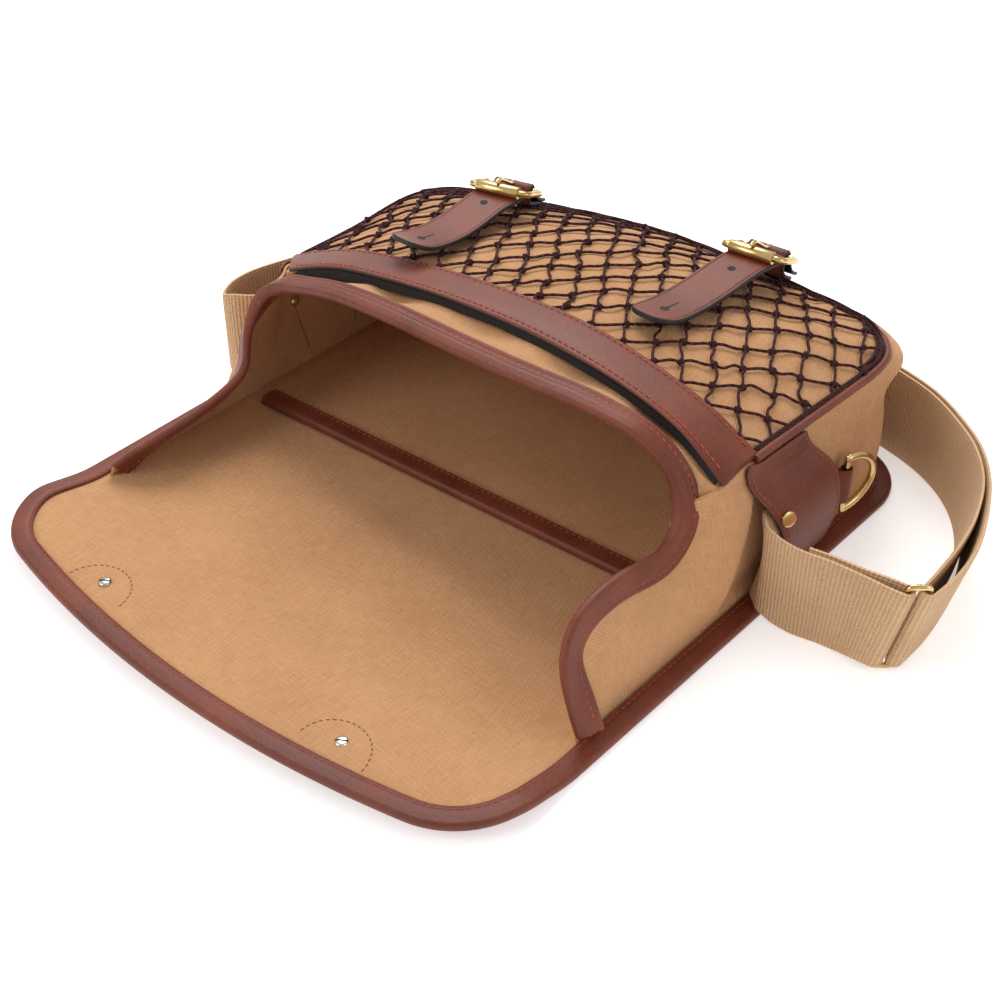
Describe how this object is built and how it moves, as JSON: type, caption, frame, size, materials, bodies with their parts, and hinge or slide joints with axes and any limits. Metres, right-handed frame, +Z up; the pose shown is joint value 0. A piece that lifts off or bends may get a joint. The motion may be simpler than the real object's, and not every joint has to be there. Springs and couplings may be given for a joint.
{
  "type": "game bag",
  "caption": "Canvas shoulder game bag lying open on its back, with leather-bound flap, net front pocket, keyhole buckle straps and webbing strap.",
  "frame": {"origin": "on the underside of the back panel, in its middle, where the bag rests on the ground", "axes": "+X across the bag to the side with the strap ring, +Y from the flap to the bottom of the bag, +Z up from the ground"},
  "size_m": [0.4288, 0.3846, 0.1192],
  "materials": {
    "canvas": "woven twill, matte",
    "leather": "smooth bridle leather, satin",
    "webbing": "ribbed webbing, matte",
    "net_cord": "twisted cord, matte",
    "black_tape": "woven tape, matte",
    "brass": "polished",
    "screw": "nickel plated"
  },
  "bodies": {
    "bag": {"back_and_flap": "canvas", "edge_binding": "leather", "front_panel": "canvas", "pocket_panel": "canvas", "pocket_band": "leather", "net": "net_cord", "pocket_mouth_tape": "black_tape", "gusset": "canvas", "pocket_piping": "leather", "mouth_rim": "leather", "strap_end": "webbing", "strap_ring": "brass", "shoulder_strap": "webbing", "strap_slide": "brass", "inner_pocket": "canvas", "inner_pocket_binding": "leather", "side_tab_right": "leather", "rivet_right": "brass", "rivet_inside_right": "brass", "ring_loop_right": "leather", "keyhole_strap_right": "leather", "buckle_frame_right": "brass", "buckle_roller_right": "brass", "buckle_prong_right": "brass", "buckle_chape_right": "leather", "stud_patch_right": "leather", "stud_right": "brass", "stud_screw_right": "screw", "side_tab_left": "leather", "rivet_left": "brass", "rivet_inside_left": "brass", "ring_loop_left": "leather", "keyhole_strap_left": "leather", "buckle_frame_left": "brass", "buckle_roller_left": "brass", "buckle_prong_left": "brass", "buckle_chape_left": "leather", "stud_patch_left": "leather", "stud_left": "brass", "stud_screw_left": "screw"},
    "right_ring": {"d_ring_right": "brass"},
    "left_ring": {"d_ring_left": "brass"}
  },
  "joints": [
    {"name": "right_ring_swing", "type": "hinge", "parent": "bag", "child": "right_ring", "pos_m": [0.15863, 0.067, 0.0345], "axis": [0, 0, 1], "range_deg": [-110, 9]},
    {"name": "left_ring_swing", "type": "hinge", "parent": "bag", "child": "left_ring", "pos_m": [-0.15996, 0.055, 0.0345], "axis": [0, 0, 1], "range_deg": [-2, 6]}
  ]
}
